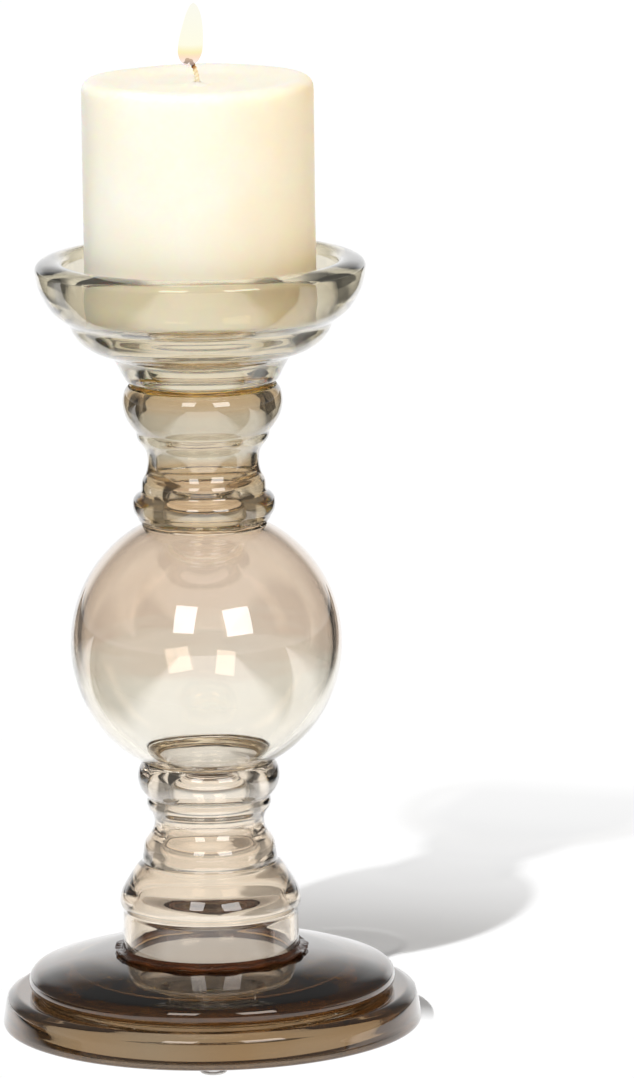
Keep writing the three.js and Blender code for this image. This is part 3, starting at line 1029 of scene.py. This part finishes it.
class CANDLESTICK_OT_wick(bpy.types.Operator):
    """Builds the braided wick along its hooked route with Geometry Nodes"""

    bl_idname = "candlestick.wick"
    bl_label = "Wick"

    def execute(self, context):
        settings = candle_settings()
        top = WICK_TOP
        route = [(0, 0, WICK_LOW + 0.2), (0, 0, 280), (0, 0, WAX_TOP - 4), (-0.1, 0, WAX_TOP),
                 (-0.5, -0.1, WAX_TOP + 2.2), (-1.4, -0.1, top - 1.9), (-2.2, -0.2, top - 0.75),
                 (-2.9, -0.2, top - 0.5), (-3.4, -0.2, top - 0.95), (-3.65, -0.2, top - 1.6)]
        curve = bpy.data.curves.new("wick_route", "CURVE")
        curve.dimensions = "3D"
        spline = curve.splines.new("BEZIER")
        spline.bezier_points.add(len(route) - 1)
        for point, place in zip(spline.bezier_points, route):
            point.co = Vector(place) * MM
            point.handle_left_type = point.handle_right_type = "AUTO"
        host = bpy.data.objects.new("wick_route", curve)
        bpy.context.scene.collection.objects.link(host)
        values = {"Radius": settings.wick_radius, "Turns": settings.wick_turns, "Strands": 3,
                  "Material": burnt_cotton()}
        wick = from_nodes(host, self.twisted_tree(), "candle_wick", values)
        finish_piece(wick, CANDLE, "cotton", "candle_wick")
        return {"FINISHED"}

    def twisted_tree(self):
        """Sweeps a rounded star of strands along a curve, turned as it goes and thinner at its end."""
        inputs = [("Geometry", GEOMETRY), ("Radius", FLOAT, 0.001), ("Turns", FLOAT, 20.0),
                  ("Strands", WHOLE, 3), ("Material", MATERIAL)]
        tree, given, result = new_group("Twisted wick", "GeometryNodeTree", inputs, [("Geometry", GEOMETRY)])
        fine = add_node(tree, "GeometryNodeResampleCurve", {"Curve": given["Geometry"], "Count": 260})
        along = add_node(tree, "GeometryNodeSplineParameter").outputs["Factor"]
        angle = calculate(tree, "MULTIPLY", calculate(tree, "MULTIPLY", along, given["Turns"]), 2 * math.pi)
        tilt = add_node(tree, "GeometryNodeSetCurveTilt", {"Curve": fine.outputs[0], "Tilt": angle})
        taper = remap(tree, along, 0.93, 1.0, 1.0, 0.62)
        thick = add_node(tree, "GeometryNodeSetCurveRadius", {"Curve": tilt.outputs[0], "Radius": taper})
        between = calculate(tree, "MULTIPLY", given["Radius"], 0.62)
        star = {"Points": given["Strands"], "Outer Radius": given["Radius"], "Inner Radius": between}
        lobes = add_node(tree, "GeometryNodeCurveStar", star)
        rounded = add_node(tree, "GeometryNodeCurveSplineType", {"Curve": lobes.outputs[0]},
                           spline_type="CATMULL_ROM")
        outline = add_node(tree, "GeometryNodeResampleCurve", {"Curve": rounded.outputs[0], "Count": 18})
        sweep = {"Curve": thick.outputs[0], "Profile Curve": outline.outputs[0], "Fill Caps": True}
        swept = add_node(tree, "GeometryNodeCurveToMesh", sweep)
        realize_and_paint(tree, swept.outputs[0], given["Material"], result)
        return tree


class CANDLESTICK_OT_flame(bpy.types.Operator):
    """Builds the flame as a leaning drop round the wick's hook"""

    bl_idname = "candlestick.flame"
    bl_label = "Flame"

    def execute(self, context):
        height = candle_settings().flame_height / MM
        foot = WICK_TOP - 2.2
        tip = foot + height
        # Half width and sideways lean of the flame at shares of its height.
        rows = [(0.0, 1.3, -2.4), (0.04, 2.3, -2.45), (0.10, 3.2, -2.4), (0.20, 3.9, -2.2),
                (0.35, 4.0, -1.9), (0.5, 3.7, -1.55), (0.65, 3.2, -1.2), (0.8, 2.5, -0.95),
                (0.9, 1.7, -0.85), (0.96, 1.0, -0.85), (1.0, 0.0, -0.85)]
        widths = smooth_through([(w, foot + s * height) for s, w, _ in rows], 0.3)
        leans = smooth_through([(x, foot + s * height) for s, _, x in rows], 0.3)

        def lean_at(z):
            for low, high in zip(leans, leans[1:]):
                if z <= high.y:
                    share = (z - low.y) / max(TINY, high.y - low.y)
                    return low.x + (high.x - low.x) * share
            return leans[-1].x

        around, faces = 32, []
        vertices = [(lean_at(foot), 0, foot - 0.4)]
        for radius, z in widths[:-1]:
            for k in range(around):
                angle = 2 * math.pi * k / around
                vertices.append((lean_at(z) + radius * math.cos(angle), 0.8 * radius * math.sin(angle), z))
        vertices.append((lean_at(tip), 0, tip))
        count = len(widths) - 1
        for k in range(around):
            n = (k + 1) % around
            faces.append((0, 1 + n, 1 + k))
            for row in range(count - 1):
                a = 1 + row * around
                faces.append((a + k, a + n, a + around + n, a + around + k))
            a = 1 + (count - 1) * around
            faces.append((a + k, a + n, len(vertices) - 1))
        flame = add_object("candle_flame", vertices, faces, [flame_glow(foot, tip)])
        flame.visible_shadow = False
        finish_piece(flame, CANDLE, "cotton")
        return {"FINISHED"}


# ---- Operator: stage --------------------------------------------------------


class CANDLESTICK_OT_stage(bpy.types.Operator):
    """Builds the plain floor, the soft studio light and the camera"""

    bl_idname = "candlestick.stage"
    bl_label = "Stage"

    def execute(self, context):
        settings = stage_settings()
        self.make_floor(settings)
        self.make_room(settings)
        self.make_lights(settings)
        self.make_camera()
        scene = context.scene
        scene.view_settings.view_transform = "Standard"
        scene.cycles.max_bounces = 28
        scene.cycles.transmission_bounces = 28
        scene.cycles.glossy_bounces = 10
        scene.cycles.transparent_max_bounces = 24
        scene.cycles.caustics_reflective = False
        scene.cycles.caustics_refractive = True
        return {"FINISHED"}

    def make_floor(self, settings):
        """A white glowing floor that takes the key light's shadow along a strip away from it."""
        material, tree, shader, place = new_material("Pale floor")
        azimuth = math.radians(KEY_AZIMUTH)
        away = (-math.sin(azimuth), math.cos(azimuth), 0)
        along = add_node(tree, "ShaderNodeVectorMath", {0: place, 1: away}, operation="DOT_PRODUCT")
        share = colour_ramp(tree, remap(tree, along.outputs["Value"], 0.0, SHADOW_REACH), SHADOW_STRENGTH)
        full, low = settings.floor_glow, settings.shadow_glow
        feed(tree, shader, {
            "Base Color": blend(tree, share, (0, 0, 0, 1), (*settings.floor_colour, 1)),
            "Emission Color": blend(tree, share, (full, full, full, 1), (low, low, low, 1)),
            "Emission Strength": self.flagged(tree, place), "Roughness": 1.0, "Specular IOR Level": 0.0,
        })
        around, radius = 64, 60000.0
        rim = [(radius * math.cos(2 * math.pi * k / around), radius * math.sin(2 * math.pi * k / around), 0)
               for k in range(around)]
        floor = add_object("floor", rim, [tuple(range(around))], [material])

    def flagged(self, tree, place):
        """Darkens the floor out to the sides, as black flags do, but only in the glass."""
        split = add_node(tree, "ShaderNodeSeparateXYZ", {0: place}).outputs
        across, along = (calculate(tree, "ABSOLUTE", split[axis]) for axis in "XY")
        side = calculate(tree, "MULTIPLY_ADD", along, FLAG_SLOPE, across)
        shade = remap(tree, side, *FLAG_EDGE, 1.0, 0.04)
        path = add_node(tree, "ShaderNodeLightPath").outputs
        plain = calculate(tree, "MAXIMUM", path["Is Camera Ray"], path["Is Diffuse Ray"])
        return add_node(tree, "ShaderNodeMix", {0: plain, 2: shade, 3: 1.0}).outputs[0]

    def make_room(self, settings):
        """White just over the floor's edge at the back, else a dim room; seen directly it is white."""
        world = bpy.data.worlds.new("Studio")
        bpy.context.scene.world = world
        world.use_nodes = True
        tree = world.node_tree
        tree.nodes.clear()
        place = add_node(tree, "ShaderNodeTexCoord").outputs["Generated"]
        split = add_node(tree, "ShaderNodeSeparateXYZ", {0: place}).outputs
        path = add_node(tree, "ShaderNodeLightPath").outputs
        grey = settings.room_grey
        # Greys by the sine of the elevation, in front of the candlestick and behind it.
        front = colour_ramp(tree, split["Z"], ((0.0, 0.3), (0.05, 0.2), (0.12, grey), (0.3, grey)))
        back = colour_ramp(tree, split["Z"], ((0.0, 1.0), (0.22, 0.95), (0.34, 0.5), (0.5, grey)))
        sky = blend(tree, remap(tree, split["Y"], 0.77, 0.88), front, back)
        lifted = blend(tree, 1.0, sky, (*[settings.lift_grey] * 3, 1), "LIGHTEN")
        lit = blend(tree, path["Is Transmission Ray"], sky, lifted)
        filled = blend(tree, path["Is Diffuse Ray"], lit, (*[settings.fill_grey] * 3, 1))
        seen = blend(tree, path["Is Camera Ray"], filled, WHITE)
        studio = add_node(tree, "ShaderNodeBackground", {"Color": seen})
        add_node(tree, "ShaderNodeOutputWorld", {"Surface": studio.outputs[0]})

    def make_lights(self, settings):
        key = self.place_light("Key", "SUN", KEY_AZIMUTH, KEY_ELEVATION)
        key.data.energy = settings.key_strength
        key.data.angle = math.radians(1.4)
        key.visible_glossy = False
        key.visible_transmission = False
        self.shine_only_on(key, "floor")
        lamp = self.place_light("Candle light", "SUN", -46.0, 60.0)
        lamp.data.energy = settings.candle_strength
        lamp.data.angle = math.radians(20)
        warm = self.place_light("Candle warm side", "SUN", 80.0, 12.0)
        warm.data.energy = settings.candle_strength * 0.45
        warm.data.color = (1.0, 0.62, 0.10)
        warm.data.angle = math.radians(40)
        for light in (lamp, warm):
            self.shine_only_on(light, "candle_wax", "candle_wick", "wick_sustainer")
        height = 0.60
        for name, azimuth, elevation, width in (("Softbox left", -20.0, 29.0, 0.46),
                                                ("Softbox right", 29.0, 25.5, 0.60)):
            box = self.place_light(name, "AREA", azimuth, elevation)
            box.data.shape = "RECTANGLE"
            box.data.size = width
            box.data.size_y = height
            box.data.energy = settings.softbox_radiance * math.pi * width * height

    def shine_only_on(self, light, *names):
        """Links a light to some objects, so that it lights nothing else."""
        lit = bpy.data.collections.new(light.name + " receivers")
        for thing in bpy.data.objects:
            if thing.name.split(".")[0] in names:
                lit.objects.link(thing)
        light.light_linking.receiver_collection = lit

    def place_light(self, name, kind, azimuth, elevation):
        """A light at an azimuth from the front, to the right, and an elevation, aimed at the ball."""
        a, e = math.radians(azimuth), math.radians(elevation)
        away = Vector((math.sin(a) * math.cos(e), -math.cos(a) * math.cos(e), math.sin(e)))
        light = bpy.data.objects.new(name, bpy.data.lights.new(name, kind))
        light.location = Vector((0, 0, LIGHTS_AIM)) + away * LIGHTS_DISTANCE
        light.rotation_mode = "QUATERNION"
        light.rotation_quaternion = (-away).to_track_quat("-Z", "Y")
        bpy.context.scene.collection.objects.link(light)
        return light

    def make_camera(self):
        """A long lens from the front and a little above, tilted by a degree."""
        stand = Vector((0.0, -2.900, 0.722))
        aim = Vector((0.0371, 0.0, 0.16545))
        roll = math.radians(-0.82)
        camera = bpy.data.objects.new("Camera", bpy.data.cameras.new("Camera"))
        camera.location = stand
        look = (aim - stand).to_track_quat("-Z", "Y").to_matrix()
        camera.rotation_euler = (look @ Matrix.Rotation(roll, 3, "Z")).to_euler()
        camera.data.lens = 298.35
        camera.data.sensor_width = 36.0
        camera.data.clip_end = 200.0
        bpy.context.scene.collection.objects.link(camera)
        bpy.context.scene.camera = camera


# ---- Panel and registration -------------------------------------------------


class CANDLESTICK_PT_panel(bpy.types.Panel):
    """The candlestick's pieces and settings"""

    bl_idname = "CANDLESTICK_PT_panel"
    bl_label = "Glass Candlestick"
    bl_space_type = "VIEW_3D"
    bl_region_type = "UI"
    bl_category = "Candlestick"

    def draw(self, context):
        for settings in (glass_settings(), candle_settings(), stage_settings()):
            box = self.layout.box()
            for name in settings.__annotations__:
                box.prop(settings, name)
        column = self.layout.column(align=True)
        for operator in OPERATORS:
            column.operator(operator.bl_idname)


OPERATORS = (
    CANDLESTICK_OT_pads,
    CANDLESTICK_OT_base,
    CANDLESTICK_OT_lower_stem,
    CANDLESTICK_OT_ball,
    CANDLESTICK_OT_upper_stem,
    CANDLESTICK_OT_cup,
    CANDLESTICK_OT_wax,
    CANDLESTICK_OT_wick,
    CANDLESTICK_OT_flame,
    CANDLESTICK_OT_stage,
)
SETTINGS = {
    "candlestick_glass": GlassSettings,
    "candlestick_candle": CandleSettings,
    "candlestick_stage": StageSettings,
}


def register():
    for cls in (*SETTINGS.values(), *OPERATORS, CANDLESTICK_PT_panel):
        bpy.utils.register_class(cls)
    for name, cls in SETTINGS.items():
        setattr(bpy.types.Scene, name, PointerProperty(type=cls))


def unregister():
    for name in SETTINGS:
        delattr(bpy.types.Scene, name)
    for cls in reversed((*SETTINGS.values(), *OPERATORS, CANDLESTICK_PT_panel)):
        bpy.utils.unregister_class(cls)


def main():
    """Registers the add-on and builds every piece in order."""
    register()
    for operator in OPERATORS:
        section, name = operator.bl_idname.split(".")
        getattr(getattr(bpy.ops, section), name)()
    bpy.context.view_layer.update()


if __name__ == "__main__":
    main()
